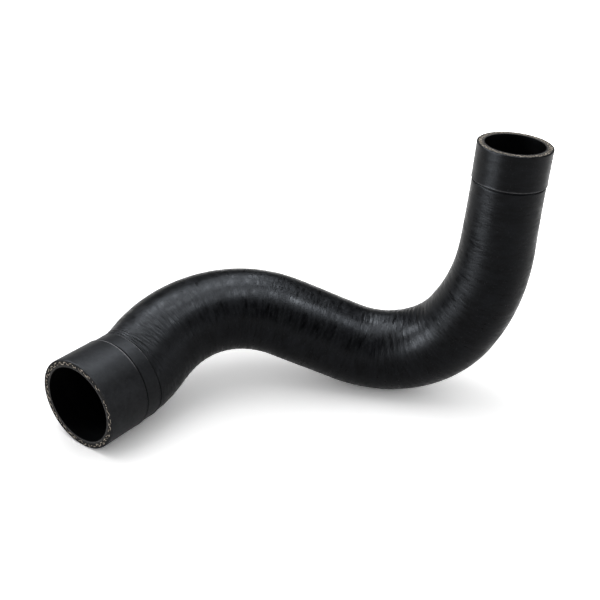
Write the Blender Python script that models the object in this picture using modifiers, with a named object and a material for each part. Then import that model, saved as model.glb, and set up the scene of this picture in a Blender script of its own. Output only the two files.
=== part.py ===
"""Expansion tank hose: one moulded rubber tube, hollow right through.

A wall section is turned into a straight tube and laid along a route of straight runs and round
bends. The hose rests on its wide cuff and on its elbow, and the leg above the elbow stands up.
Units are metres, +Z is up, the floor is z = 0 and the wide cuff lies along X, mouth to -X.
"""

import math

import bpy
from mathutils import Vector

# Bores and walls
WIDE_BORE_DIAMETER = 0.0420
NARROW_BORE_DIAMETER = 0.0298
WIDE_WALL = 0.0043
BODY_WALL = 0.0043
NARROW_WALL = 0.0040

# Wide cuff: a raised sleeve, a lower band behind it, then the body
WIDE_CUFF_LENGTH = 0.0246
WIDE_BAND_LENGTH = 0.0098
WIDE_STEP_HEIGHT = 0.0004
BAND_STEP_HEIGHT = 0.0004
STEP_SLOPE_LENGTH = 0.0006

# Narrow cuff: one raised sleeve
NARROW_CUFF_LENGTH = 0.0182
NARROW_STEP_HEIGHT = 0.0004

# Cut edges of the two mouths
MOUTH_EDGE_CHAMFER = 0.0004

# Body: a reducer behind the wide cuff, an even middle, then a taper up the leg
BODY_OUTER_RADIUS = 0.0226
REDUCER_LENGTH = 0.0700
LEG_TAPER_LENGTH = 0.1300

# Route: heading is the turn to the left of the wide cuff's own direction, seen from above,
# and climb is the angle above the floor. Each bend joins the runs before and after it.
WIDE_RUN_LENGTH = 0.0330
RISE_HEADING = 0.9
RISE_CLIMB = 30.1
RISE_RUN_LENGTH = 0.0005
RISE_BEND_RADIUS = 0.0340
FALL_HEADING = -59.6
FALL_CLIMB = -19.9
HUMP_BEND_RADIUS = 0.0650
ELBOW_HEADING = -88.4
ELBOW_CLIMB = 61.6
ELBOW_RUN_LENGTH = 0.0036
ELBOW_BEND_RADIUS = 0.0504
LEG_HEADING = -64.8
LEG_CLIMB = 88.0
LEG_RUN_LENGTH = 0.0537
LEG_BEND_RADIUS = 0.1049

# Fineness of the turned tube and of its route
SIDES = 32
OUTER_RING_SPACING = 0.0050
INNER_RING_SPACING = 0.0070
ROUTE_POINT_SPACING = 0.0025

# Finish
RUBBER_COLOUR = (0.022, 0.023, 0.025, 1.0)
RUBBER_ROUGHNESS = 0.52


def clear_scene():
    """Remove whatever objects the open scene holds."""
    for old in list(bpy.data.objects):
        bpy.data.objects.remove(old, do_unlink=True)


def make_collection(name):
    """Return a new collection linked to the scene."""
    collection = bpy.data.collections.new(name)
    bpy.context.scene.collection.children.link(collection)
    return collection


def direction(heading, climb):
    """Return the unit vector of a run from its heading and climb in degrees."""
    turn = math.radians(heading)
    rise = math.radians(climb)
    level = math.cos(rise)
    return Vector((level * math.cos(turn), level * math.sin(turn), math.sin(rise)))


def run_points(start, along, length):
    """Return the points of a straight run after its start."""
    count = max(1, math.ceil(length / ROUTE_POINT_SPACING))
    return [start + along * (length * i / count) for i in range(1, count + 1)]


def bend_points(start, before, after, radius):
    """Return the points of a round bend after its start."""
    angle = before.angle(after)
    sideways = (after - before * after.dot(before)).normalized()
    count = max(2, math.ceil(radius * angle / ROUTE_POINT_SPACING))
    points = []
    for i in range(1, count + 1):
        turned = angle * i / count
        forward = before * (radius * math.sin(turned))
        across = sideways * (radius * (1.0 - math.cos(turned)))
        points.append(start + forward + across)
    return points


def route_points(fall_run_length):
    """Return the centreline from the wide mouth to the narrow one."""
    wide = direction(0.0, 0.0)
    rise = direction(RISE_HEADING, RISE_CLIMB)
    fall = direction(FALL_HEADING, FALL_CLIMB)
    elbow = direction(ELBOW_HEADING, ELBOW_CLIMB)
    leg = direction(LEG_HEADING, LEG_CLIMB)
    points = [Vector((0.0, 0.0, wide_outer_radius()))]
    points += run_points(points[-1], wide, WIDE_RUN_LENGTH)
    points += bend_points(points[-1], wide, rise, RISE_BEND_RADIUS)
    points += run_points(points[-1], rise, RISE_RUN_LENGTH)
    points += bend_points(points[-1], rise, fall, HUMP_BEND_RADIUS)
    points += run_points(points[-1], fall, fall_run_length)
    points += bend_points(points[-1], fall, elbow, ELBOW_BEND_RADIUS)
    points += run_points(points[-1], elbow, ELBOW_RUN_LENGTH)
    points += bend_points(points[-1], elbow, leg, LEG_BEND_RADIUS)
    points += run_points(points[-1], leg, LEG_RUN_LENGTH)
    return points


def seated_route():
    """Return the route whose falling run ends where the elbow touches the floor."""
    short = route_points(ROUTE_POINT_SPACING)
    hump_top = max(range(len(short)), key=lambda i: short[i].z if i < len(short) // 2 else 0.0)
    elbow_height = min(point.z for point in short[hump_top:])
    still_to_fall = elbow_height - BODY_OUTER_RADIUS
    slope = math.sin(math.radians(-FALL_CLIMB))
    return route_points(ROUTE_POINT_SPACING + still_to_fall / slope)


def path_length(points):
    """Return the length of a line of points."""
    return sum((b - a).length for a, b in zip(points, points[1:]))


def wide_outer_radius():
    """Return the outer radius of the wide cuff."""
    return WIDE_BORE_DIAMETER / 2 + WIDE_WALL


def narrow_outer_radius():
    """Return the outer radius of the narrow cuff."""
    return NARROW_BORE_DIAMETER / 2 + NARROW_WALL


def ease(start, end, share):
    """Return a value that leaves start and reaches end without a corner."""
    share = min(1.0, max(0.0, share))
    smooth = share * share * (3.0 - 2.0 * share)
    return start + (end - start) * smooth


def body_radius(station, length):
    """Return the outer radius of the body at a distance from the wide mouth."""
    reducer_start = WIDE_CUFF_LENGTH + WIDE_BAND_LENGTH
    taper_end = length - NARROW_CUFF_LENGTH
    neck = wide_outer_radius() - WIDE_STEP_HEIGHT - BAND_STEP_HEIGHT
    tip = narrow_outer_radius() - NARROW_STEP_HEIGHT
    radius = ease(neck, BODY_OUTER_RADIUS, (station - reducer_start) / REDUCER_LENGTH)
    taper = (station - taper_end + LEG_TAPER_LENGTH) / LEG_TAPER_LENGTH
    return ease(radius, tip, taper)


def bore_radius(station, length):
    """Return the inner radius at a distance from the wide mouth."""
    reducer_start = WIDE_CUFF_LENGTH + WIDE_BAND_LENGTH
    taper_end = length - NARROW_CUFF_LENGTH
    body_bore = BODY_OUTER_RADIUS - BODY_WALL
    radius = ease(WIDE_BORE_DIAMETER / 2, body_bore, (station - reducer_start) / REDUCER_LENGTH)
    taper = (station - taper_end + LEG_TAPER_LENGTH) / LEG_TAPER_LENGTH
    return ease(radius, NARROW_BORE_DIAMETER / 2, taper)


def stations(start, end, spacing):
    """Return evenly spaced distances between two stations, without the ends."""
    count = max(1, round((end - start) / spacing))
    return [start + (end - start) * i / count for i in range(1, count)]


def outer_side(length):
    """Return the outer wall's radii and distances from the wide mouth to the narrow one."""
    wide = wide_outer_radius()
    band = wide - WIDE_STEP_HEIGHT
    narrow = narrow_outer_radius()
    band_start = WIDE_CUFF_LENGTH
    body_start = WIDE_CUFF_LENGTH + WIDE_BAND_LENGTH
    cuff_start = length - NARROW_CUFF_LENGTH
    line = [(wide - MOUTH_EDGE_CHAMFER, 0.0), (wide, MOUTH_EDGE_CHAMFER)]
    line += [(wide, s) for s in stations(MOUTH_EDGE_CHAMFER, band_start, OUTER_RING_SPACING * 2)]
    line += [(wide, band_start), (band, band_start + STEP_SLOPE_LENGTH)]
    line += [(band, body_start), (body_radius(body_start, length), body_start + STEP_SLOPE_LENGTH)]
    body = stations(body_start + STEP_SLOPE_LENGTH, cuff_start - STEP_SLOPE_LENGTH, OUTER_RING_SPACING)
    line += [(body_radius(s, length), s) for s in body]
    line += [(body_radius(cuff_start, length), cuff_start - STEP_SLOPE_LENGTH), (narrow, cuff_start)]
    line += [(narrow, s) for s in stations(cuff_start, length - MOUTH_EDGE_CHAMFER, OUTER_RING_SPACING * 2)]
    line += [(narrow, length - MOUTH_EDGE_CHAMFER), (narrow - MOUTH_EDGE_CHAMFER, length)]
    return line


def inner_side(length):
    """Return the bore's radii and distances from the wide mouth to the narrow one."""
    line = [(bore_radius(0.0, length), 0.0)]
    line += [(bore_radius(s, length), s) for s in stations(0.0, length, INNER_RING_SPACING)]
    return line + [(bore_radius(length, length), length)]


def wall_section(length):
    """Return the closed wall section, down the outer side and up the bore."""
    down = list(reversed(outer_side(length)))
    return down + inner_side(length)


def rubber_material():
    """Return the black rubber of the hose."""
    material = bpy.data.materials.new("hose_rubber")
    material.use_nodes = True
    shader = material.node_tree.nodes["Principled BSDF"]
    shader.inputs["Base Color"].default_value = RUBBER_COLOUR
    shader.inputs["Roughness"].default_value = RUBBER_ROUGHNESS
    shader.inputs["Metallic"].default_value = 0.0
    return material


def add_route_guide(points, carrier, collection):
    """Return the guide curve that the hose is bent along."""
    curve = bpy.data.curves.new("hose_route", "CURVE")
    curve.dimensions = "3D"
    curve.twist_mode = "MINIMUM"
    spline = curve.splines.new("POLY")
    spline.points.add(len(points) - 1)
    for spot, point in zip(spline.points, points):
        spot.co = (point.x, point.y, point.z, 1.0)
    guide = bpy.data.objects.new("hose_route", curve)
    guide.hide_render = True
    guide.display_type = "WIRE"
    guide.parent = carrier
    collection.objects.link(guide)
    return guide


def add_hose(points, guide, carrier, collection):
    """Return the hose: the wall section turned round Z, then bent along the guide."""
    section = wall_section(path_length(points))
    half_side = math.pi / SIDES
    corners = [(r * math.cos(half_side), r * math.sin(half_side), s) for r, s in section]
    edges = [(i, (i + 1) % len(corners)) for i in range(len(corners))]
    mesh = bpy.data.meshes.new("hose")
    mesh.from_pydata(corners, edges, [])
    mesh.materials.append(rubber_material())
    hose = bpy.data.objects.new("hose", mesh)
    hose.parent = carrier
    collection.objects.link(hose)
    turn = hose.modifiers.new("turn_the_wall", "SCREW")
    turn.axis = "Z"
    turn.angle = math.tau
    turn.steps = SIDES
    turn.render_steps = SIDES
    turn.use_merge_vertices = True
    turn.merge_threshold = 0.00001
    turn.use_smooth_shade = True
    bend = hose.modifiers.new("bend_along_route", "CURVE")
    bend.object = guide
    bend.deform_axis = "POS_Z"
    return hose


def centre_over_floor(hose, carrier):
    """Move the carrier so that the hose's box stands centred on the origin."""
    bpy.context.view_layer.update()
    shaped = hose.evaluated_get(bpy.context.evaluated_depsgraph_get())
    corners = [shaped.matrix_world @ vertex.co for vertex in shaped.data.vertices]
    low = Vector([min(corner[axis] for corner in corners) for axis in range(3)])
    high = Vector([max(corner[axis] for corner in corners) for axis in range(3)])
    middle = (low + high) / 2
    carrier.location -= Vector((middle.x, middle.y, low.z))
    bpy.context.view_layer.update()


def main():
    """Build the hose."""
    clear_scene()
    parts = make_collection("expansion_tank_hose")
    guides = make_collection("guides")
    carrier = bpy.data.objects.new("hose_carrier", None)
    parts.objects.link(carrier)
    points = seated_route()
    guide = add_route_guide(points, carrier, guides)
    hose = add_hose(points, guide, carrier, parts)
    centre_over_floor(hose, carrier)


main()
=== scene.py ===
"""Looks of the expansion tank hose: moulded rubber, its bore, and the yarn in its two cut faces.

The straight wall is turned from a section, wrinkled and then laid along the route by Geometry
Nodes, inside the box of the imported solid. Units are metres, +Z is up and the floor is z = 0.
"""

from __future__ import annotations

import logging
import math
from collections.abc import Sequence
from dataclasses import dataclass, field
from enum import Enum

import bpy
import numpy as np
from mathutils import Matrix, Vector

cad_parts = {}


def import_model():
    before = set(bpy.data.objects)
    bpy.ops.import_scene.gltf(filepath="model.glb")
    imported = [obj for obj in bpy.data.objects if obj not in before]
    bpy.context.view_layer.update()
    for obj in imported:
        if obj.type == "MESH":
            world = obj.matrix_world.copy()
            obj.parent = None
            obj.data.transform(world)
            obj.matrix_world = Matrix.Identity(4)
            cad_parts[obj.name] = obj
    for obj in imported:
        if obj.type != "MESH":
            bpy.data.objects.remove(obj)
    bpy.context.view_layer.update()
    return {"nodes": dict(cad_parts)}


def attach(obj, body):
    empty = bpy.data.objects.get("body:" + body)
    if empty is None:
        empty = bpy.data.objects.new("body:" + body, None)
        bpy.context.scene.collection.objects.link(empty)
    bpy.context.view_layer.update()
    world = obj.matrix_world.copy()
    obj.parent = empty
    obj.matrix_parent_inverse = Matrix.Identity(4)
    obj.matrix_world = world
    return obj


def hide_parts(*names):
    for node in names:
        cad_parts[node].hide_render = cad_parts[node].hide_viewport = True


LOG = logging.getLogger("hose_scene")
MM = 0.001
WHITE = (1.0, 1.0, 1.0, 1.0)
LAMP_AIM = (0.0, 0.0, 0.07)

Array = np.ndarray
Material = bpy.types.Material
Object = bpy.types.Object
Socket = bpy.types.NodeSocket
Triple = tuple[float, float, float]
Colour = Triple


class HoseEnd(Enum):
    """The two ends of the hose."""

    WIDE = "wide"
    NARROW = "narrow"


class Zone(Enum):
    """The kinds of surface on the wall, as numbers kept on its faces."""

    SKIN = 0
    CUT = 1
    BORE = 2


def new_object(name: str, data: bpy.types.ID) -> Object:
    """Return a new object that stands in the scene.

    Args:
        name: Its name.
        data: Its mesh, curve, lamp or camera.

    Returns:
        The object.
    """
    obj = bpy.data.objects.new(name, data)
    bpy.context.scene.collection.objects.link(obj)
    return obj


def ease(s: Array, start: float, span: float, low: Array | float = 0.0, high: float = 1.0) -> Array:
    """Return values eased from low to high over the span behind a place."""
    share = np.clip((s - start) / span, 0.0, 1.0)
    return low + (high - low) * share * share * (3.0 - 2.0 * share)


def bell(s: Array, place: float, width: float) -> Array:
    """Return a bell shape of height 1 at a place."""
    return np.exp(-(((s - place) / width) ** 2))


class Graph:
    """A node tree that is written one node at a time."""

    def __init__(self, tree: bpy.types.NodeTree) -> None:
        """Keep the tree to write into."""
        self.tree = tree

    def add(
        self, kind: str, *values: object, fill: dict[str | int, object] | None = None, **settings: object
    ) -> bpy.types.Node:
        """Add a node.

        Args:
            kind: Blender's name of the node type.
            values: What is put into the inputs in order.
            fill: What is put into inputs by name or number.
            settings: Properties of the node to set first.

        Returns:
            The new node.
        """
        node = self.tree.nodes.new(kind)
        for name, value in settings.items():
            setattr(node, name, value)
        for key, value in [*enumerate(values), *(fill or {}).items()]:
            self.put(node.inputs[key], value)
        return node

    def out(self, kind: str, *values: object, **settings: object) -> Socket:
        """Return the first output of a new node."""
        return self.add(kind, *values, **settings).outputs[0]

    def put(self, target: Socket, value: object) -> None:
        """Fill an input.

        Args:
            target: The input.
            value: A socket to link, a value to set, or None to leave the input as it is.
        """
        if isinstance(value, Socket):
            self.tree.links.new(value, target)
        elif value is not None:
            target.default_value = value

    def maths(self, operation: str, *operands: object) -> Socket:
        """Return the result of one Math node."""
        return self.out("ShaderNodeMath", *operands, operation=operation)

    def times(self, a: object, b: object) -> Socket:
        """Return a times b."""
        return self.maths("MULTIPLY", a, b)

    def times_plus(self, a: object, b: object, c: object) -> Socket:
        """Return a times b, plus c."""
        return self.maths("MULTIPLY_ADD", a, b, c)

    def blended(self, a: Socket, b: Socket, share: float) -> Socket:
        """Return two numbers blended, with a share of the second."""
        return self.times_plus(b, share, self.times(a, 1.0 - share))

    def smooth(self, value: object, low: float, high: float) -> Socket:
        """Return a value eased from 0 at low to 1 at high."""
        return self.out("ShaderNodeMapRange", value, low, high, interpolation_type="SMOOTHSTEP")

    def vector(self, operation: str, *operands: object) -> Socket:
        """Return the result of one Vector Math node."""
        outputs = self.add("ShaderNodeVectorMath", *operands, operation=operation).outputs
        return outputs["Value" if operation in ("LENGTH", "DOT_PRODUCT") else "Vector"]

    def scaled(self, a: object, factor: object) -> Socket:
        """Return a vector times a number."""
        return self.vector("SCALE", a, None, None, factor)

    def camera_ray(self) -> Socket:
        """Return 1 for camera rays and 0 for the rest."""
        return self.add("ShaderNodeLightPath").outputs["Is Camera Ray"]

    def seen_ray(self) -> Socket:
        """Return a ray test.

        Returns:
            1 for camera, glossy and transmission rays, and 0 for the rest.
        """
        rays = self.add("ShaderNodeLightPath").outputs
        sharp = self.maths("MAXIMUM", rays["Is Glossy Ray"], rays["Is Transmission Ray"])
        return self.maths("MAXIMUM", rays["Is Camera Ray"], sharp)


class GeometryGraph(Graph):
    """A Geometry Nodes tree with named inputs and the values they get."""

    def __init__(self, name: str, inputs: Sequence[tuple[str, str, object]]) -> None:
        """Make a tree with its inputs.

        Args:
            name: The tree's name.
            inputs: Name, kind of socket and value of each input.
        """
        super().__init__(bpy.data.node_groups.new(name, "GeometryNodeTree"))
        self.tree.is_modifier = True
        face = self.tree.interface
        for way in ("OUTPUT", "INPUT"):
            face.new_socket("Geometry", in_out=way, socket_type="NodeSocketGeometry")
        self.values: dict[str, object] = {}
        for label, kind, value in inputs:
            item = face.new_socket(label, in_out="INPUT", socket_type=f"NodeSocket{kind}")
            self.values[item.identifier] = value
        self.inputs = {socket.name: socket for socket in self.add("NodeGroupInput").outputs}

    def attribute(self, name: str, kind: str = "FLOAT") -> Socket:
        """Return a named attribute."""
        return self.out("GeometryNodeInputNamedAttribute", name, data_type=kind)

    def stored(self, geometry: Socket, name: str, value: Socket, kind: str = "FLOAT") -> Socket:
        """Return the geometry with a value kept on its points."""
        return self.out("GeometryNodeStoreNamedAttribute", geometry, None, name, value, data_type=kind)

    def sample(self, line: Socket, station: Socket) -> bpy.types.bpy_prop_collection:
        """Return a curve's place and directions at a distance along it, as a node's outputs."""
        fill = {"Curves": line, "Length": station}
        return self.add("GeometryNodeSampleCurve", fill=fill, mode="LENGTH", use_all_curves=True).outputs

    def wave(self, place: Socket, waves: Triple) -> Socket:
        """Return a noise spread over 0 to 1, with so many waves to a metre along X, Y and Z."""
        values = (self.vector("MULTIPLY", place, waves), self.inputs["Seed"], 1.0, 1.0)
        return self.smooth(self.out("ShaderNodeTexNoise", *values, noise_dimensions="4D"), 0.25, 0.75)

    def chance(self, low: float, high: float, shift: int) -> Socket:
        """Return a random number for each point, drawn with a shifted seed."""
        fill = {2: low, 3: high, "Seed": self.maths("ADD", self.inputs["Seed"], float(shift))}
        return self.add("FunctionNodeRandomValue", fill=fill, data_type="FLOAT").outputs[1]

    def close(self, geometry: Socket, dressings: Sequence[tuple[Socket | None, str]]) -> None:
        """End the tree in Realize Instances and Set Material.

        Args:
            geometry: The finished shape.
            dressings: Pairs of a selection, or None for everything, and a material's input.
        """
        shape = self.out("GeometryNodeRealizeInstances", geometry)
        for selection, name in dressings:
            shape = self.out("GeometryNodeSetMaterial", shape, selection, self.inputs[name])
        self.add("NodeGroupOutput", shape)

    def apply(self, obj: Object) -> Object:
        """Run the tree on an object and keep the result as its plain mesh.

        Args:
            obj: The object that carries the starting mesh.

        Returns:
            The same object, with a plain mesh and no modifier.
        """
        modifier = obj.modifiers.new(self.tree.name, "NODES")
        modifier.node_group = self.tree
        for identifier, value in self.values.items():
            modifier[identifier] = value
        bpy.context.view_layer.update()
        graph = bpy.context.evaluated_depsgraph_get()
        mesh = bpy.data.meshes.new_from_object(obj.evaluated_get(graph), depsgraph=graph)
        obj.modifiers.remove(modifier)
        start, obj.data = obj.data, mesh
        bpy.data.meshes.remove(start)
        mesh.name = obj.name
        return obj


class MaterialGraph(Graph):
    """A material's tree, with its Principled shader and the patterns that the finishes share."""

    def __init__(self, material: Material) -> None:
        """Take over the material's tree and shader."""
        super().__init__(material.node_tree)
        self.shader = self.tree.nodes["Principled BSDF"]

    def feed(self, name: str, value: object) -> None:
        """Fill one of the shader's inputs."""
        self.put(self.shader.inputs[name], value)

    def value(self, name: str) -> Socket:
        """Return a number kept on the mesh."""
        return self.add("ShaderNodeAttribute", attribute_name=name).outputs["Fac"]

    def direction(self, name: str) -> Socket:
        """Return a vector kept on the mesh."""
        return self.add("ShaderNodeAttribute", attribute_name=name).outputs["Vector"]

    def noise(self, place: Socket, detail: float = 1.0, rough: float = 0.5) -> Socket:
        """Return a noise of 0 to 1, with a number and a share of finer layers."""
        return self.out("ShaderNodeTexNoise", place, None, 1.0, detail, rough)

    def pattern(self, waves: tuple[float, float], detail: float = 1.0, rough: float = 0.5) -> Socket:
        """Return a noise with so many waves to a metre across the straight wall and along it."""
        stretch = (waves[0], waves[0], waves[1])
        return self.noise(self.vector("MULTIPLY", self.direction("straight"), stretch), detail, rough)

    def mixed(self, share: object, a: Socket, b: Socket | Colour, blend: str = "MIX") -> Socket:
        """Return two colours mixed, with a share of the second."""
        fill = {"Factor": share, "A": a, "B": (*b, 1.0) if isinstance(b, tuple) else b}
        return self.add("ShaderNodeMix", fill=fill, data_type="RGBA", blend_type=blend).outputs["Result"]

    def ramp(self, value: Socket, *stops: tuple[float, Colour]) -> Socket:
        """Return a colour ramp.

        Args:
            value: What drives the ramp.
            stops: Places and colours.

        Returns:
            The ramp's colour.
        """
        node = self.add("ShaderNodeValToRGB", value)
        elements = node.color_ramp.elements
        while len(elements) < len(stops):
            elements.new(0.5)
        for element, (place, colour) in zip(elements, stops):
            element.position = place
            element.color = (*colour, 1.0)
        return node.outputs["Color"]

    def relief(
        self, height: Socket, distance: float, strength: float = 1.0, before: Socket | None = None
    ) -> Socket:
        """Return the normal of a bump of so many metres, added to another normal."""
        fill = {"Strength": strength, "Distance": distance, "Height": height, "Normal": before}
        return self.out("ShaderNodeBump", fill=fill)


@dataclass(frozen=True)
class Finish:
    """A material written in nodes.

    Attributes:
        name: The material's name.
        roughness: Roughness where nothing else sets it.
        specular: Specular level, the same all over.
    """

    name: str
    roughness: float = 0.5
    specular: float = 0.2

    def material(self) -> Material:
        """Make the finish.

        Returns:
            The finished material.
        """
        material = bpy.data.materials.new(self.name)
        material.use_nodes = True
        graph = MaterialGraph(material)
        graph.feed("Roughness", self.roughness)
        graph.feed("Specular IOR Level", self.specular)
        self.dress(graph)
        return material

    def dress(self, graph: MaterialGraph) -> None:
        """Add this finish's own nodes."""
        raise NotImplementedError


@dataclass(frozen=True)
class MouldedRubber(Finish):
    """Black moulded rubber with fine strokes round the hose.

    Attributes:
        dark, pale: Colours of the darkest and palest patches.
        chalky, dusty: The same on the smooth cuffs, and fading out behind the wide cuff as painted light.
        speck: Colour of the small dusty specks.
        whitened: Colour of the painted highlight along the upper side of each step's crest.
        stretch: How far the fine lines round the hose draw its sheen out along it.
        clouds, mottling, strokes, hairs, patches, specks, grain: Waves to a metre of each pattern,
            across the hose and along it.
        line_relief, grain_relief: Depth of the strokes and of the grain.
    """

    dark: Colour = (0.0008, 0.0009, 0.0012)
    pale: Colour = (0.0048, 0.0052, 0.0064)
    chalky: Colour = (0.0095, 0.0100, 0.0108)
    dusty: Colour = (0.0200, 0.0206, 0.0224)
    speck: Colour = (0.0400, 0.0410, 0.0440)
    whitened: Colour = (0.2300, 0.2300, 0.2350)
    stretch: float = 0.35
    clouds: tuple[float, float] = (75.0, 110.0)
    mottling: tuple[float, float] = (420.0, 420.0)
    strokes: tuple[float, float] = (140.0, 600.0)
    hairs: tuple[float, float] = (330.0, 1150.0)
    patches: tuple[float, float] = (130.0, 230.0)
    specks: tuple[float, float] = (1300.0, 1300.0)
    grain: tuple[float, float] = (2600.0, 2600.0)
    line_relief: float = 0.15 * MM
    grain_relief: float = 0.03 * MM

    def dress(self, graph: MaterialGraph) -> None:
        """Add clouding, strokes and grain, fainter on the smooth cuffs, with a painted highlight along the
        upper side of each step's crest and painted shade in its groove.

        Args:
            graph: The material's tree.
        """
        ribbed, chalk, crease = (graph.value(name) for name in ("ribbed", "chalk", "crease"))
        cloud = graph.pattern(self.clouds, 5.0, 0.62)
        mottle = graph.pattern(self.mottling, 3.0, 0.7)
        strokes = graph.smooth(graph.pattern(self.strokes), 0.26, 0.74)
        hairs = graph.smooth(graph.pattern(self.hairs), 0.24, 0.76)
        lines = graph.blended(strokes, hairs, 0.38)

        moulded = graph.ramp(graph.blended(cloud, lines, 0.25), (0.34, self.dark), (0.66, self.pale))
        powder = graph.blended(cloud, mottle, 0.55)
        # Chalky finish on the cuffs. Behind the wide cuff its fading share is painted light, which keeps
        # the body paler near the cuff.
        colour = graph.mixed(chalk, moulded, graph.ramp(powder, (0.34, self.chalky), (0.66, self.dusty)))
        specks = graph.smooth(graph.pattern(self.specks), 0.66, 0.76)
        colour = graph.mixed(graph.times(specks, 0.25), colour, self.speck)
        # Painted shade: the groove beside each step is painted black.
        colour = graph.mixed(crease, colour, (0.0, 0.0, 0.0))
        # Painted highlight: a pale line on the upper side of each step's crest, broken by noise, stands in
        # for the sheen there.
        upper = graph.smooth(graph.value("upward"), 0.58, 0.94)
        broken = graph.times_plus(graph.smooth(mottle, 0.35, 0.6), 0.6, 0.4)
        painted_ledge_highlight = graph.times(graph.times(upper, graph.value("crest")), broken)
        graph.feed("Base Color", graph.mixed(painted_ledge_highlight, colour, self.whitened))
        graph.feed("Anisotropic", self.stretch)
        graph.feed("Tangent", graph.direction("along"))

        rough_skin = graph.smooth(ribbed, 0.08, 0.40)
        swing = graph.times_plus(rough_skin, 0.30, 0.12)
        patchy = graph.maths("SUBTRACT", graph.pattern(self.patches, 2.0), 0.5)
        dulled = graph.times_plus(patchy, swing, self.roughness)
        streak = graph.times(graph.maths("SUBTRACT", lines, 0.5), rough_skin)
        dulled = graph.times_plus(chalk, 0.14, graph.times_plus(streak, 0.22, dulled))
        graph.feed("Roughness", graph.times_plus(crease, 0.5, dulled))
        height = graph.times(lines, graph.times_plus(ribbed, 0.97, 0.03))
        lined = graph.relief(height, self.line_relief)
        graph.feed("Normal", graph.relief(graph.pattern(self.grain), self.grain_relief, 0.7, lined))


@dataclass(frozen=True)
class BoreRubber(Finish):
    """Black inner rubber with faint rings, darker than the outer skin as painted shade inside the bore."""

    # Painted shade: the bore's colour is kept below the skin's tone.
    colour: Colour = (0.0010, 0.0010, 0.0012)
    paler: float = 2.2

    def dress(self, graph: MaterialGraph) -> None:
        """Add the faint rings.

        Args:
            graph: The material's tree.
        """
        rings = graph.pattern((20.0, 500.0), 2.0)
        pale = tuple(self.paler * c for c in self.colour)
        graph.feed("Base Color", graph.ramp(rings, (0.4, self.colour), (0.7, pale)))
        graph.feed("Normal", graph.relief(rings, 0.1 * MM, 0.7))


@dataclass(frozen=True)
class CutRubber(Finish):
    """The cut wall: inner rubber, a band that holds the yarn, and a dark outer rubber."""

    inner: Colour = (0.048, 0.047, 0.048)
    band: Colour = (0.012, 0.0115, 0.011)
    outer: Colour = (0.007, 0.007, 0.008)
    dusty: Colour = (0.100, 0.096, 0.090)

    def dress(self, graph: MaterialGraph) -> None:
        """Add the plies, dark dots of painted shade in small hollows, and frayed fibre ends.

        Args:
            graph: The material's tree.
        """
        wobble = graph.maths("SUBTRACT", graph.pattern((700.0, 700.0), 2.0), 0.5)
        fibre = graph.pattern((2200.0, 2200.0), 2.0, 0.7)
        ply = graph.times_plus(wobble, 0.16, graph.value("wall_depth"))
        edge = (0.88, self.outer)
        plies = graph.ramp(ply, (0.22, self.inner), (0.36, self.band), (0.80, self.band), edge)
        whitened = graph.ramp(ply, (0.10, self.inner), (0.22, self.dusty), (0.82, self.dusty), edge)
        colour = graph.mixed(graph.value("dust"), plies, whitened)
        # Painted shade: dark dots stand in for the shade in small hollows of the cut face.
        painted_pit_shade = graph.smooth(graph.pattern((1250.0, 1250.0)), 0.56, 0.64)
        colour = graph.mixed(graph.times(painted_pit_shade, 0.75), colour, self.outer)
        frayed = graph.ramp(fibre, (0.30, (0.35, 0.35, 0.35)), (0.62, (1.5, 1.45, 1.35)))
        graph.feed("Base Color", graph.mixed(1.0, colour, frayed, "MULTIPLY"))
        graph.feed("Normal", graph.relief(fibre, 0.12 * MM, 0.8))


@dataclass(frozen=True)
class YarnFinish(Finish):
    """Tan knitted yarn, cut across."""

    bright: Colour = (0.630, 0.560, 0.470)
    dull: Colour = (0.160, 0.130, 0.100)

    def dress(self, graph: MaterialGraph) -> None:
        """Add the fibres and the yarn's uneven staining.

        Args:
            graph: The material's tree.
        """
        place = graph.add("ShaderNodeTexCoord").outputs["Object"]
        stain = graph.noise(graph.scaled(place, 420.0), 2.0)
        fibre = graph.noise(graph.scaled(place, 5200.0))
        colour = graph.ramp(graph.blended(stain, fibre, 0.35), (0.38, self.dull), (0.62, self.bright))
        graph.feed("Base Color", colour)
        graph.feed("Normal", graph.relief(fibre, 0.06 * MM))


@dataclass(frozen=True)
class FloorFinish(Finish):
    """Pale floor that goes to white and keeps the hose's shadow.

    Attributes:
        paint: How pale the floor is for the light it throws back.
        bright, clear: How much paler it is where it is seen, and where the camera sees it.
        near, far: Radii round the middle between which it goes to plain white.
    """

    paint: float = 0.80
    bright: float = 0.66
    clear: float = 0.16
    near: float = 0.13
    far: float = 0.50

    def dress(self, graph: MaterialGraph) -> None:
        """Put a matt floor with an outer glow in place of the usual shader.

        Args:
            graph: The material's tree.
        """
        graph.tree.nodes.clear()
        paint = graph.times_plus(graph.seen_ray(), self.bright, self.paint)
        paper = graph.add("ShaderNodeBsdfDiffuse", graph.times_plus(graph.camera_ray(), self.clear, paint))
        place = graph.add("ShaderNodeTexCoord").outputs["Object"]
        away = graph.smooth(graph.vector("LENGTH", place), self.near, self.far)
        glow = graph.add("ShaderNodeEmission", WHITE, graph.times(away, graph.seen_ray()))
        both = graph.add("ShaderNodeAddShader", paper.outputs[0], glow.outputs[0])
        graph.add("ShaderNodeOutputMaterial", both.outputs[0])


@dataclass(frozen=True)
class Run:
    """A straight run and the bend that leads into it.

    Attributes:
        length: Length of the run.
        heading: Turn to the left of the wide cuff, in degrees.
        climb: Angle above the floor, in degrees.
        bend: Radius of the bend before the run.
    """

    length: float
    heading: float
    climb: float
    bend: float = 0.0

    def along(self) -> Vector:
        """Return the run's direction."""
        turn, rise = math.radians(self.heading), math.radians(self.climb)
        return Vector((math.cos(rise) * math.cos(turn), math.cos(rise) * math.sin(turn), math.sin(rise)))


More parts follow.
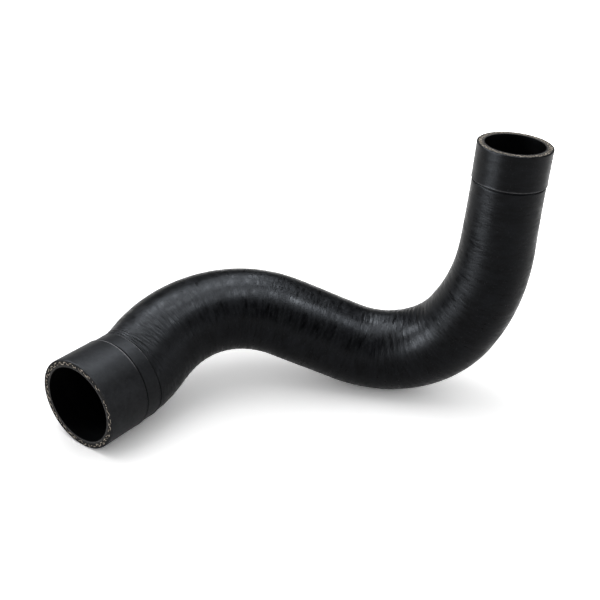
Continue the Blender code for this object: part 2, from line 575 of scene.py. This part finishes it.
@dataclass
class Route:
    """The hose's centreline, as straight runs joined by round bends.

    Attributes:
        start: Middle of the wide mouth.
        drop: How far the middle of the elbow lies below that of the wide mouth.
        spacing: Distance between points.
        falling: Which run falls to the elbow. Its length is found.
        runs: The straight runs in order.
    """

    start: Vector
    drop: float = 2.70 * MM
    spacing: float = 1.0 * MM
    falling: int = 2
    runs: tuple[Run, ...] = (
        Run(33.0 * MM, 0.0, 0.0),
        Run(0.5 * MM, 0.9, 30.1, 34.0 * MM),
        Run(2.5 * MM, -59.6, -19.9, 65.0 * MM),
        Run(3.6 * MM, -88.4, 61.6, 50.4 * MM),
        Run(53.7 * MM, -64.8, 88.0, 104.9 * MM),
    )

    def walk(self, fall: float) -> list[Vector]:
        """Return the centreline's points.

        Args:
            fall: Length of the run that falls to the elbow.

        Returns:
            The points from the wide mouth to the narrow one.
        """
        points = [self.start.copy()]
        before: Vector | None = None
        for index, run in enumerate(self.runs):
            after = run.along()
            if before is not None:
                points += self.bend(points[-1], before, after, run.bend)
            length = fall if index == self.falling else run.length
            count = max(1, math.ceil(length / self.spacing))
            begin = points[-1]
            points += [begin + after * (length * i / count) for i in range(1, count + 1)]
            before = after
        return points

    def bend(self, begin: Vector, before: Vector, after: Vector, radius: float) -> list[Vector]:
        """Return the points of a round bend.

        Args:
            begin: Where the bend starts.
            before: Direction at its start.
            after: Direction at its end.
            radius: Radius of its centreline.

        Returns:
            The points after its start.
        """
        angle = before.angle(after)
        side = (after - before * after.dot(before)).normalized()
        count = max(2, math.ceil(radius * angle / self.spacing))
        turns = [angle * i / count for i in range(1, count + 1)]
        return [
            begin + before * (radius * math.sin(t)) + side * (radius * (1.0 - math.cos(t))) for t in turns
        ]

    def points(self) -> list[Vector]:
        """Let the elbow rest on the floor.

        Returns:
            The centreline's points.
        """
        run = self.runs[self.falling]
        short = self.walk(run.length)
        top = max(range(len(short) // 2), key=lambda i: short[i].z)
        spare = min(p.z for p in short[top:]) - self.start.z + self.drop
        return self.walk(run.length + spare / math.sin(math.radians(-run.climb)))

    def guide(self, points: Sequence[Vector]) -> Object:
        """Return the centreline as a curve object.

        Args:
            points: The centreline's points.

        Returns:
            The curve object.
        """
        curve = bpy.data.curves.new("route_guide", "CURVE")
        curve.dimensions = "3D"
        curve.twist_mode = "MINIMUM"
        spline = curve.splines.new("POLY")
        spline.points.add(len(points) - 1)
        for spot, point in zip(spline.points, points):
            spot.co = (*point, 1.0)
        return new_object("route_guide", curve)


@dataclass
class HoseWall:
    """The rubber wall: outer skin, bore and the two cut faces, as one closed mesh.

    Attributes:
        length: Length of the centreline.
        sides: Number of faces round the hose.
        ring_gap, fine_gap: Distance between rings of the skin, and the same near a cuff's step.
        fine_reach: How near a step the rings lie closer.
        bore_gap, rim_gap: Distance between rings of the bore, and from its rim to the first.
        face_rings, edge_rings: Rings across a cut face and round its rounded outer edge.
        snug: Share of the solid's radius that the round skin takes.
        setback: How far the cut faces lie inside the solid's ends.
        wide_radius, wide_bore, narrow_radius, narrow_bore: Outer and inner radius of the cuffs.
        body_radius, body_wall: Outer radius and wall of the body.
        cuff, band, narrow_cuff: Lengths of the wide cuff, the band behind it and the narrow cuff.
        step, slope: Height of a cuff's step and length of its slope.
        reducer, leg_taper: Lengths over which the body narrows behind the band and down the leg.
        edge: Radius of the rounded outer edge.
        bead, bead_width: Height and width of the lip at a step.
        groove, groove_width: Depth and width of the groove beside a step.
        groove_offset: Distance from the slope's foot to the groove.
        proud: How far the hump's skin stands out of the section.
        swell: Where that starts and over what length it grows, and the same for its end.
        wrinkle_depth, wrinkle_gain: Depth of the wrinkles, and how much deeper they are in bends.
        sway_depth: Depth of the slow unevenness.
        ripple_pitch, ripple_depth: Distance between ripples, and depth where the skin is squeezed
            to nothing.
        seed: Seed of the wrinkles.
    """

    length: float
    sides: int = 120
    ring_gap: float = 0.62 * MM
    fine_gap: float = 0.12 * MM
    fine_reach: float = 1.5 * MM
    bore_gap: float = 3.0 * MM
    rim_gap: float = 0.15 * MM
    face_rings: int = 6
    edge_rings: int = 5
    snug: float = 0.9962
    setback: float = 0.14 * MM
    wide_radius: float = 25.3 * MM
    wide_bore: float = 21.0 * MM
    narrow_radius: float = 18.9 * MM
    narrow_bore: float = 14.9 * MM
    body_radius: float = 22.6 * MM
    body_wall: float = 4.3 * MM
    cuff: float = 24.6 * MM
    band: float = 9.8 * MM
    narrow_cuff: float = 18.2 * MM
    step: float = 0.4 * MM
    slope: float = 0.45 * MM
    reducer: float = 70.0 * MM
    leg_taper: float = 133.0 * MM
    edge: float = 0.4 * MM
    bead: float = 0.12 * MM
    bead_width: float = 0.50 * MM
    groove: float = 0.40 * MM
    groove_width: float = 0.38 * MM
    groove_offset: float = 0.25 * MM
    proud: float = 0.22 * MM
    swell: tuple[float, float, float, float] = (40.0 * MM, 20.0 * MM, 145.0 * MM, 25.0 * MM)
    wrinkle_depth: float = 0.14 * MM
    wrinkle_gain: float = 2.0
    sway_depth: float = 0.06 * MM
    ripple_pitch: float = 5.0 * MM
    ripple_depth: float = 1.1 * MM
    seed: float = 4.0

    def steps(self) -> tuple[float, float, float]:
        """Return where the wide cuff, the band behind it and the leg end in a step."""
        return self.cuff, self.cuff + self.band, self.length - self.narrow_cuff

    def blend(self, wide: float, middle: float, narrow: float, s: Array) -> Array:
        """Return a radius eased from behind the wide cuff to the body and down the leg.

        Args:
            wide, middle, narrow: Values behind the wide cuff, along the body and at the leg's end.
            s: Distances from the wide mouth.

        Returns:
            The radii.
        """
        _, behind, leg = self.steps()
        body = ease(s, behind, self.reducer, wide, middle)
        return ease(s, leg - self.leg_taper, self.leg_taper, body, narrow)

    def skin_radius(self, s: Array) -> Array:
        """Return the outer radius with the cuffs' steps and lips.

        Args:
            s: Distances from the wide mouth.

        Returns:
            The radii.
        """
        first, second, third = self.steps()
        slope, wide, narrow = self.slope, self.wide_radius, self.narrow_radius
        band, behind, leg = wide - self.step, wide - 2 * self.step, narrow - self.step
        radius = np.interp(s, [first, first + slope, second, second + slope], [wide, band, band, behind])
        radius = np.where(s >= second + slope, self.blend(behind, self.body_radius, leg, s), radius)
        radius = np.where(s > third - slope, np.interp(s, [third - slope, third], [leg, narrow]), radius)
        lips = ((-1.0, first, first), (first + slope, second, second), (third, self.length + 1.0, third))
        for start, end, edge in lips:
            lip = self.bead * (1.0 - bell(s, edge, self.bead_width))
            radius = np.where((s >= start) & (s <= end), radius - lip, radius)
        gap = slope + self.groove_offset
        for place in (first + gap, second + gap, third - gap):
            radius = radius - self.groove * bell(s, place, self.groove_width)
        rise, rise_span, fall, fall_span = self.swell
        radius = radius + self.proud * ease(s, rise, rise_span) * ease(s, fall, fall_span, 1.0, 0.0)
        corner = np.clip(1.0 - (np.minimum(s, self.length - s) - self.setback) / self.edge, 0.0, 1.0)
        return radius - self.edge * (1.0 - np.sqrt(1.0 - corner * corner))

    def ribbing(self, s: Array) -> Array:
        """Return how strongly the skin is wrinkled.

        Args:
            s: Distances from the wide mouth.

        Returns:
            The shares, nearly 0 on a smooth cuff and 1 where the wrinkles are strongest.
        """
        _, start, end = self.steps()
        behind_band = ease(s, start - 0.5 * MM, 1.5 * MM)
        body = ease(s, start + 12.0 * MM, 45.0 * MM, 1.0, 0.42)
        leg = ease(s, self.length - 170.0 * MM, 50.0 * MM, 0.0, -0.06)
        before_cuff = ease(s, end - 4.0 * MM, 4.0 * MM, 1.0, 0.0)
        on_cuff = np.where(s > end, 0.24, 0.07)
        return np.maximum(behind_band * (body + leg) * before_cuff, on_cuff)

    def marks(self, s: Array) -> list[Array]:
        """Return how far a place lies on the crest and in the crease of a cuff's step. The skin's finish
        paints a highlight on the crest's upper side and painted shade in the crease.

        Args:
            s: Distances from the wide mouth.

        Returns:
            The shares of crest and of crease.
        """
        steps = list(zip(self.steps(), (1.0, 1.0, -1.0), (1.0, 1.0, 0.55)))
        lines = ((-0.10 * MM, 0.30 * MM), (0.75 * MM, 0.38 * MM))
        return [
            sum(strength * bell(s, step + shift * way, width) for step, way, strength in steps)
            for shift, width in lines
        ]

    def chalk_and_light_share(self, s: Array) -> Array:
        """Return the share of the chalky colour: the cuffs' own chalky finish, and behind the wide cuff a
        fade over 70 mm that paints the body paler near the cuff as painted light.
        """
        end = self.cuff + self.band
        return np.where(s < end, ease(s, 0.0, end, 0.95, 0.80), ease(s, end, 70.0 * MM, 0.62, 0.08))

    def rings(self, start: float, end: float) -> Array:
        """Return the skin's ring places, closer together at the cuffs' steps.

        Args:
            start: First place.
            end: Upper bound of the last place.

        Returns:
            The places.
        """
        places = [start]
        while places[-1] < end:
            near = min(abs(places[-1] - step) for step in self.steps())
            places.append(places[-1] + (self.fine_gap if near < self.fine_reach else self.ring_gap))
        return np.array(places[:-1])

    def profile(self) -> tuple[Array, Array, Array, Array]:
        """Return the closed wall section.

        Returns:
            Radii, stations, zones of the strips that follow each point, and wall depths.
        """
        join = np.concatenate
        low, high = self.setback, self.length - self.setback
        edge = low + self.edge * (1.0 - np.cos(np.linspace(0.0, np.pi / 2, self.edge_rings)))
        middle = self.rings(edge[-1] + self.ring_gap, self.length - edge[-1] - 0.5 * self.ring_gap)
        skin_s = join([edge, middle, (self.length - edge)[::-1]])
        skin_r = self.skin_radius(skin_s) * self.snug
        inside = np.linspace(high, low, int(self.length / self.bore_gap))[1:-1]
        bore_s = join([[high, high - self.rim_gap], inside, [low + self.rim_gap, low]])
        bore_r = self.blend(self.wide_bore, self.body_radius - self.body_wall, self.narrow_bore, bore_s)
        share = np.arange(1, self.face_rings) / self.face_rings
        top_r = skin_r[-1] + (bore_r[0] - skin_r[-1]) * share
        foot_r = bore_r[-1] + (skin_r[0] - bore_r[-1]) * share
        radii = join([skin_r, top_r, bore_r, foot_r])
        places = join([skin_s, np.full(len(share), high), bore_s, np.full(len(share), low)])
        strips = (len(skin_r) - 1, len(share) + 1, len(bore_r) - 1, len(share) + 1)
        kinds = (Zone.SKIN.value, Zone.CUT.value, Zone.BORE.value, Zone.CUT.value)
        depths = join([np.ones(len(skin_r)), 1.0 - share, np.zeros(len(bore_r)), share])
        return radii, places, np.repeat(kinds, strips), depths

    def straight_mesh(self) -> Object:
        """Turn the straight wall and keep on it what the tree and the finishes read.

        Returns:
            The wall's object.
        """
        radii, places, zones, depths = self.profile()
        rings, sides = len(radii), self.sides
        angles = np.arange(sides) * math.tau / sides
        spots = np.empty((rings, sides, 3))
        spots[..., 0] = radii[:, None] * np.cos(angles)
        spots[..., 1] = radii[:, None] * np.sin(angles)
        spots[..., 2] = places[:, None]
        ring, side = np.arange(rings)[:, None], np.arange(sides)[None, :]
        here, there = ring * sides, (ring + 1) % rings * sides
        beside = (side + 1) % sides
        quads = np.stack([here + side, here + beside, there + beside, there + side], -1)
        mesh = bpy.data.meshes.new("hose_wall")
        mesh.from_pydata(spots.reshape(-1, 3).tolist(), [], quads.reshape(-1, 4).tolist())
        mesh.attributes.new("zone", "INT", "FACE").data.foreach_set("value", np.repeat(zones, sides))
        crest, crease = self.marks(places)
        per_ring = {
            "crest": crest,
            "crease": crease,
            "chalk": self.chalk_and_light_share(places),
            "skin": np.arange(rings) <= (zones == Zone.SKIN.value).sum(),
            "ribbed": self.ribbing(places),
            "wall_depth": depths,
            "dust": places > self.length / 2,
        }
        for name, values in per_ring.items():
            store = mesh.attributes.new(name, "FLOAT", "POINT")
            store.data.foreach_set("value", np.repeat(values, sides).astype(np.float32))
        return new_object("hose_wall", mesh)

    def write_tree(self, graph: GeometryGraph) -> None:
        """Write the nodes that wrinkle the straight wall and lay it along the route.

        Args:
            graph: The tree, with its inputs.
        """
        inputs = graph.inputs
        place = graph.out("GeometryNodeInputPosition")
        x, y, station = graph.add("ShaderNodeSeparateXYZ", place).outputs
        info = graph.add("GeometryNodeObjectInfo", inputs["Route"], transform_space="ORIGINAL")
        line = info.outputs["Geometry"]
        reach = 2.0 * MM
        here = graph.sample(line, station)
        ahead = graph.sample(line, graph.maths("ADD", station, reach))
        behind = graph.sample(line, graph.maths("SUBTRACT", station, reach))
        normal, tangent = here["Normal"], here["Tangent"]
        across = graph.vector("CROSS_PRODUCT", tangent, normal)
        out = graph.vector("ADD", graph.scaled(normal, x), graph.scaled(across, y))
        outward = graph.vector("NORMALIZE", out)

        turning = graph.vector("SUBTRACT", ahead["Tangent"], behind["Tangent"])
        inward = graph.maths("DIVIDE", graph.vector("DOT_PRODUCT", turning, out), 2 * reach)
        squeeze = graph.maths("MAXIMUM", inward, 0.0)
        squeezed = graph.times(squeeze, squeeze)
        ribbed = graph.attribute("ribbed")
        coarse = graph.wave(place, (55.0, 55.0, 420.0))
        fine = graph.wave(place, (70.0, 70.0, 900.0))
        wrinkles = graph.times(graph.blended(coarse, fine, 0.45), ribbed)
        wrinkles = graph.times(wrinkles, inputs["Wrinkle Depth"])
        sway = graph.times(graph.wave(place, (22.0, 22.0, 26.0)), inputs["Sway Depth"])
        gain = graph.times_plus(squeezed, inputs["Wrinkle Gain In Bends"], 1.0)
        dips = graph.times_plus(wrinkles, gain, sway)
        beat = graph.times(graph.maths("DIVIDE", station, inputs["Ripple Pitch"]), math.tau)
        beat = graph.times_plus(graph.wave(place, (45.0, 45.0, 90.0)), 4.0, beat)
        fold = graph.times_plus(graph.maths("SINE", beat), 0.5, -0.35)
        fold = graph.times(graph.times(fold, inputs["Ripple Depth"]), ribbed)
        dips = graph.times_plus(squeezed, fold, dips)
        taken = graph.scaled(outward, graph.times(dips, graph.attribute("skin")))
        moved = graph.vector("SUBTRACT", graph.vector("ADD", here["Position"], out), taken)

        # How far the surface faces up is the mask of the painted highlight on the steps' crests. On the
        # far half it is lifted to at least 0.76, so that the highlight runs all round the narrow cuff.
        facing = graph.add("ShaderNodeSeparateXYZ", outward).outputs["Z"]
        facing = graph.maths("MAXIMUM", facing, graph.times(graph.attribute("dust"), 0.76))
        wall = graph.stored(inputs["Geometry"], "straight", place, "FLOAT_VECTOR")
        wall = graph.stored(wall, "along", tangent, "FLOAT_VECTOR")
        wall = graph.stored(wall, "upward", facing)
        wall = graph.out("GeometryNodeSetPosition", wall, None, moved)
        wall = graph.out("GeometryNodeSetShadeSmooth", wall, None, True)
        dressings: list[tuple[Socket | None, str]] = [(None, "Skin Rubber")]
        for kind, finish in ((Zone.CUT, "Cut Rubber"), (Zone.BORE, "Bore Rubber")):
            fill = {2: graph.attribute("zone", "INT"), 3: kind.value}
            match = graph.add("FunctionNodeCompare", fill=fill, data_type="INT", operation="EQUAL")
            dressings.append((match.outputs[0], finish))
        graph.close(wall, dressings)

    def build(self, guide: Object, finishes: Sequence[Material]) -> Object:
        """Return the finished wall.

        Args:
            guide: The route's curve.
            finishes: Materials of the skin, the cut faces and the bore.

        Returns:
            The wall's object.
        """
        skin, cut, bore = finishes
        inputs = [
            ("Route", "Object", guide),
            ("Wrinkle Depth", "Float", self.wrinkle_depth),
            ("Wrinkle Gain In Bends", "Float", self.wrinkle_gain),
            ("Sway Depth", "Float", self.sway_depth),
            ("Ripple Pitch", "Float", self.ripple_pitch),
            ("Ripple Depth", "Float", self.ripple_depth),
            ("Seed", "Float", self.seed),
            ("Skin Rubber", "Material", skin),
            ("Cut Rubber", "Material", cut),
            ("Bore Rubber", "Material", bore),
        ]
        graph = GeometryGraph("lay_wall_along_route", inputs)
        self.write_tree(graph)
        return graph.apply(self.straight_mesh())


@dataclass
class YarnRing:
    """The cut ends of the knitted yarn in one end face.

    Attributes:
        end: Which end of the hose.
        middle, outward: Middle and outward direction of the end face.
        inner_row, outer_row: Radii of the two rows.
        loops: Number of knitted loops round the hose.
        strand: Length, width and height of one cut strand.
        sunk: How far the strands' tops lie inside the solid's end.
        jitter, scatter: How far a strand strays along its row, as a share of a loop, and across it.
        lean: How far it leans from the row's slant, in radians.
        lengths: Shortest and longest share of the full length.
        hidden: Share of the strands that are cut off below the face.
        seed: Seed of the scatter.
    """

    end: HoseEnd
    middle: Vector
    outward: Vector
    inner_row: float
    outer_row: float
    loops: int
    strand: Triple = (2.7 * MM, 0.42 * MM, 0.20 * MM)
    sunk: float = 0.02 * MM
    jitter: float = 0.14
    scatter: float = 0.13 * MM
    lean: float = 0.18
    lengths: tuple[float, float] = (0.62, 1.15)
    hidden: float = 0.14
    seed: int = 3

    def write_tree(self, graph: GeometryGraph) -> None:
        """Write the nodes that set strands in two rows with short slanting links between them.

        Args:
            graph: The tree, with its inputs.
        """
        inner, outer = graph.inputs["Inner Row Radius"], graph.inputs["Outer Row Radius"]
        between = graph.times(graph.maths("ADD", inner, outer), 0.5)
        ball = graph.add("GeometryNodeMeshUVSphere", 8, 6, 0.5).outputs["Mesh"]
        strand = graph.out("GeometryNodeSetShadeSmooth", ball, None, True)
        join = graph.add("GeometryNodeJoinGeometry")
        rows = (
            (outer, 0.00, 0.10, 1.00, 0),
            (inner, 0.50, -0.10, 1.00, 10),
            (between, 0.25, 0.30, 0.34, 20),
            (between, 0.75, -0.30, 0.34, 30),
        )
        for radius, *plan in rows:
            graph.tree.links.new(self.row(graph, strand, radius, plan), join.inputs[0])
        middle, turn = graph.inputs["Face Middle"], graph.inputs["Face Turn"]
        fill = {"Geometry": join.outputs[0], "Translation": middle, "Rotation": turn}
        placed = graph.add("GeometryNodeTransform", fill=fill)
        graph.close(placed.outputs[0], [(None, "Yarn")])

    def row(self, graph: GeometryGraph, strand: Socket, radius: Socket, plan: Sequence[float]) -> Socket:
        """Return one row of strands round the face.

        Args:
            graph: The tree.
            strand: The strand's unit shape.
            radius: The row's radius.
            plan: Share of a loop by which the row is turned, slant in radians, share of the
                full size, and what is added to the seed.

        Returns:
            The instanced strands.
        """
        offset, slant, share, shift = plan
        inputs = graph.inputs
        points = graph.add("GeometryNodePoints", inputs["Loops"])
        index = graph.out("GeometryNodeInputIndex")
        stray = graph.chance(offset - self.jitter, offset + self.jitter, shift)
        loop = graph.maths("DIVIDE", graph.maths("ADD", index, stray), inputs["Loops"])
        angle = graph.times(loop, math.tau)
        reach = graph.maths("ADD", radius, graph.chance(-self.scatter, self.scatter, shift + 1))
        x, y = (graph.times(graph.maths(wave, angle), reach) for wave in ("COSINE", "SINE"))
        spot = graph.out("ShaderNodeCombineXYZ", x, y)
        placed = graph.out("GeometryNodeSetPosition", points.outputs[0], None, spot)
        lean = graph.chance(slant - self.lean, slant + self.lean, shift + 2)
        turn = graph.maths("ADD", angle, graph.maths("ADD", lean, math.pi / 2))
        short, long = self.lengths
        grow = graph.chance(share * short, share * long, shift + 3)
        stretch = graph.out("ShaderNodeCombineXYZ", grow, 1.0, 1.0)
        shown = graph.maths("GREATER_THAN", graph.chance(0.0, 1.0, shift + 4), self.hidden)
        fill = {
            "Points": placed,
            "Selection": shown,
            "Instance": strand,
            "Rotation": graph.out("ShaderNodeCombineXYZ", 0.0, 0.0, turn),
            "Scale": graph.vector("MULTIPLY", inputs["Strand Size"], stretch),
        }
        return graph.out("GeometryNodeInstanceOnPoints", fill=fill)

    def build(self, finish: Material) -> Object:
        """Return the finished ring of yarn ends.

        Args:
            finish: The yarn's material.

        Returns:
            The ring's object.
        """
        name = f"{self.end.value}_end_yarn"
        middle = self.middle - self.outward * (self.strand[2] / 2 + self.sunk)
        inputs = [
            ("Loops", "Int", self.loops),
            ("Inner Row Radius", "Float", self.inner_row),
            ("Outer Row Radius", "Float", self.outer_row),
            ("Strand Size", "Vector", self.strand),
            ("Face Turn", "Vector", tuple(self.outward.to_track_quat("Z", "Y").to_euler())),
            ("Face Middle", "Vector", tuple(middle)),
            ("Seed", "Int", self.seed),
            ("Yarn", "Material", finish),
        ]
        graph = GeometryGraph("set_yarn_ends", inputs)
        self.write_tree(graph)
        return graph.apply(new_object(name, bpy.data.meshes.new(name)))


@dataclass(frozen=True)
class Softbox:
    """A square soft lamp that looks at the hose.

    Attributes:
        name: The lamp's name.
        place: Where it hangs.
        power: Its power in watts.
        size: Its width.
        sheen: Whether it only adds sheen and leaves the plain light level alone.
    """

    name: str
    place: Triple
    power: float
    size: float = 0.26
    sheen: bool = True

    def hang(self) -> None:
        """Add the lamp to the scene."""
        lamp = bpy.data.lights.new(self.name, "AREA")
        lamp.shape = "SQUARE"
        lamp.size = self.size
        lamp.energy = self.power
        lamp.color = (0.86, 0.92, 1.00) if self.sheen else (1.00, 1.00, 1.00)
        obj = new_object(self.name, lamp)
        obj.location = self.place
        obj.rotation_euler = (Vector(self.place) - Vector(LAMP_AIM)).to_track_quat("Z", "Y").to_euler()
        obj.visible_diffuse = not self.sheen


@dataclass
class Studio:
    """Floor, world, lamps and camera.

    Attributes:
        floor_radius, floor_sides: Radius of the round floor and number of its sides.
        eye: Place of the camera.
        heading, pitch, roll: Turn of the view from +Y towards +X, how far the camera looks down,
            and how far it is turned about its view, in degrees.
        lens: Focal length in millimetres on a 36 mm sensor.
        ambient: Strength of the plain light at the horizon and how much less comes from above.
        ceiling: How bright the ceiling is where the skin mirrors it.
        lamps: The soft lamps.
    """

    floor_radius: float = 4.0
    floor_sides: int = 96
    eye: Triple = (-0.34464, -0.24876, 0.30197)
    heading: float = 54.35
    pitch: float = 28.47
    roll: float = 1.68
    lens: float = 56.58
    ambient: tuple[float, float] = (1.144, 0.616)
    ceiling: float = 0.03
    lamps: tuple[Softbox, ...] = (
        Softbox("overhead_softbox", (-0.10, 0.22, 1.06), 2.4, 0.80, sheen=False),
        Softbox("high_right_sheen", (0.152, -0.349, 0.995), 15.0),
        Softbox("top_sheen", (-0.034, 0.099, 1.064), 10.0),
        Softbox("high_left_sheen", (-0.437, 0.746, 0.571), 23.0),
        Softbox("low_left_sheen", (-0.780, 0.572, 0.150), 22.0),
        Softbox("low_front_sheen", (-0.930, 0.330, 0.130), 14.0),
        Softbox("back_sheen", (0.389, 0.181, 0.973), 13.0),
        Softbox("back_left_sheen", (0.032, 0.544, 0.908), 16.0),
        Softbox("far_back_sheen", (0.615, 0.380, 0.761), 4.0),
        Softbox("front_sheen", (-0.106, -0.383, 0.988), 4.0),
        Softbox("right_sheen", (0.244, -0.948, 0.273), 3.5),
    )

    def floor(self) -> None:
        """Add the round floor."""
        turns = [math.tau * i / self.floor_sides for i in range(self.floor_sides)]
        ring = [(self.floor_radius * math.cos(t), self.floor_radius * math.sin(t), 0.0) for t in turns]
        mesh = bpy.data.meshes.new("studio_floor")
        mesh.from_pydata(ring, [], [tuple(range(len(ring)))])
        mesh.materials.append(FloorFinish("studio_floor").material())
        new_object("studio_floor", mesh)

    def world(self) -> None:
        """Make the world: white walls under a dim ceiling, and a plain even light."""
        world = bpy.data.worlds.new("studio_world")
        bpy.context.scene.world = world
        world.use_nodes = True
        graph = Graph(world.node_tree)
        graph.tree.nodes.clear()
        direction = graph.add("ShaderNodeTexCoord").outputs["Generated"]
        height = graph.add("ShaderNodeSeparateXYZ", direction).outputs["Z"]
        mirrored = graph.times_plus(graph.smooth(height, 0.02, 0.16), self.ceiling - 1.0, 1.0)
        wall = graph.maths("MAXIMUM", mirrored, graph.camera_ray())
        horizon, less = self.ambient
        even = graph.add("ShaderNodeBackground", WHITE, graph.times_plus(height, -less, horizon))
        backdrop = graph.add("ShaderNodeBackground", WHITE, wall)
        mix = graph.add("ShaderNodeMixShader", graph.seen_ray(), even.outputs[0], backdrop.outputs[0])
        graph.add("ShaderNodeOutputWorld", mix.outputs[0])

    def camera(self) -> None:
        """Add the camera at the photograph's viewpoint."""
        turn, fall, roll = (math.radians(a) for a in (self.heading, self.pitch, self.roll))
        data = bpy.data.cameras.new("photo_camera")
        data.lens = self.lens
        data.sensor_width = 36.0
        data.clip_start = 0.01
        camera = new_object("photo_camera", data)
        level = Matrix.Rotation(-turn, 4, "Z") @ Matrix.Rotation(math.pi / 2 - fall, 4, "X")
        camera.matrix_world = Matrix.Translation(self.eye) @ level @ Matrix.Rotation(roll, 4, "Z")
        bpy.context.scene.camera = camera

    def build(self) -> None:
        """Set up the whole studio."""
        self.floor()
        self.world()
        for lamp in self.lamps:
            lamp.hang()
        self.camera()
        bpy.context.scene.view_settings.view_transform = "Standard"


@dataclass
class ExpansionTankHose:
    """The whole hose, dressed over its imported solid.

    Attributes:
        solid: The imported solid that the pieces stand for.
        pieces: The finished pieces.
    """

    solid: Object
    pieces: list[Object] = field(default_factory=list)

    def mouth_middle(self) -> Vector:
        """Find the wide mouth from the rim of the solid.

        Returns:
            The mouth's middle.
        """
        spots = np.array([v.co for v in self.solid.data.vertices])
        rim = spots[spots[:, 0] < spots[:, 0].min() + 0.01 * MM]
        middle = (rim.min(axis=0) + rim.max(axis=0)) / 2
        return Vector(middle.tolist())

    def yarn_rings(self, points: Sequence[Vector]) -> tuple[YarnRing, YarnRing]:
        """Return the yarn at the wide and at the narrow end of the centreline."""
        first, last = (points[0] - points[1]).normalized(), (points[-1] - points[-2]).normalized()
        return (
            YarnRing(HoseEnd.WIDE, points[0], first, 22.55 * MM, 23.75 * MM, 34),
            YarnRing(HoseEnd.NARROW, points[-1], last, 16.5 * MM, 17.5 * MM, 34, seed=8),
        )

    def build(self) -> None:
        """Make every piece and ride it on the hose's body."""
        route = Route(self.mouth_middle())
        points = route.points()
        guide = route.guide(points)
        skin = MouldedRubber("moulded_rubber", 0.36, 0.050).material()
        cut = CutRubber("cut_rubber", 0.70, 0.03).material()
        bore = BoreRubber("bore_rubber", 0.50, 0.02).material()
        length = sum((b - a).length for a, b in zip(points, points[1:]))
        piece = HoseWall(length).build(guide, (skin, cut, bore))
        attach(piece, "root")
        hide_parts("hose")
        self.report(piece)
        yarn = YarnFinish("reinforcement_yarn", 0.85, 0.03).material()
        for ring in self.yarn_rings(points):
            piece = ring.build(yarn)
            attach(piece, "root")
            self.report(piece)
        bpy.data.objects.remove(guide, do_unlink=True)

    def report(self, piece: Object) -> None:
        """Keep a finished piece and log its size."""
        self.pieces.append(piece)
        LOG.info("%s: %d faces, %s m", piece.name, len(piece.data.polygons), piece.dimensions[:])


def main() -> None:
    """Build the hose and its studio."""
    logging.basicConfig(level=logging.INFO, format="%(name)s: %(message)s")
    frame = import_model()
    hose = ExpansionTankHose(frame["nodes"]["hose"])
    hose.build()
    Studio().build()
    LOG.info("built %d pieces", len(hose.pieces))


if __name__ == "__main__":
    main()
